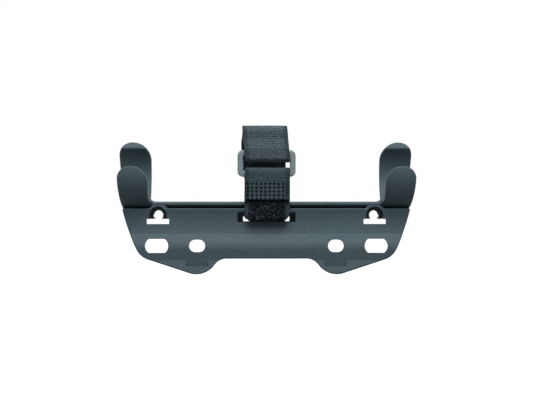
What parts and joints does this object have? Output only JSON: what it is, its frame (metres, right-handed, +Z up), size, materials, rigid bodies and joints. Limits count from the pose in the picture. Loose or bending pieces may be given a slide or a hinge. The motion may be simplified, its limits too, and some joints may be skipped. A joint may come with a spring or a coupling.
{
  "type": "pump_bracket",
  "caption": "Moulded bike pump bracket with two open clips and a hook-and-loop strap, bolted beside a bottle cage",
  "frame": {"origin": "middle of the two bolt slots, in the plane of the plate's upper front face", "axes": "+X along the pump, to the right of the picture; +Y from the rider's side to the bike's frame tube, away from the camera; +Z up, from the bolt slots to the pump"},
  "size_m": [0.1392, 0.0346, 0.0686],
  "materials": {
    "body_plastic": "fine-grained moulded surface",
    "ring_plastic": "smooth moulded surface with a soft shine",
    "pile_fabric": "twill back with a fuzzy pile side",
    "hook_fabric": "coarse herringbone back with a hooked side"
  },
  "bodies": {
    "root": {"bracket": "body_plastic", "ring": "ring_plastic", "pile_tape": "pile_fabric", "hook_tape": "hook_fabric"}
  },
  "joints": []
}
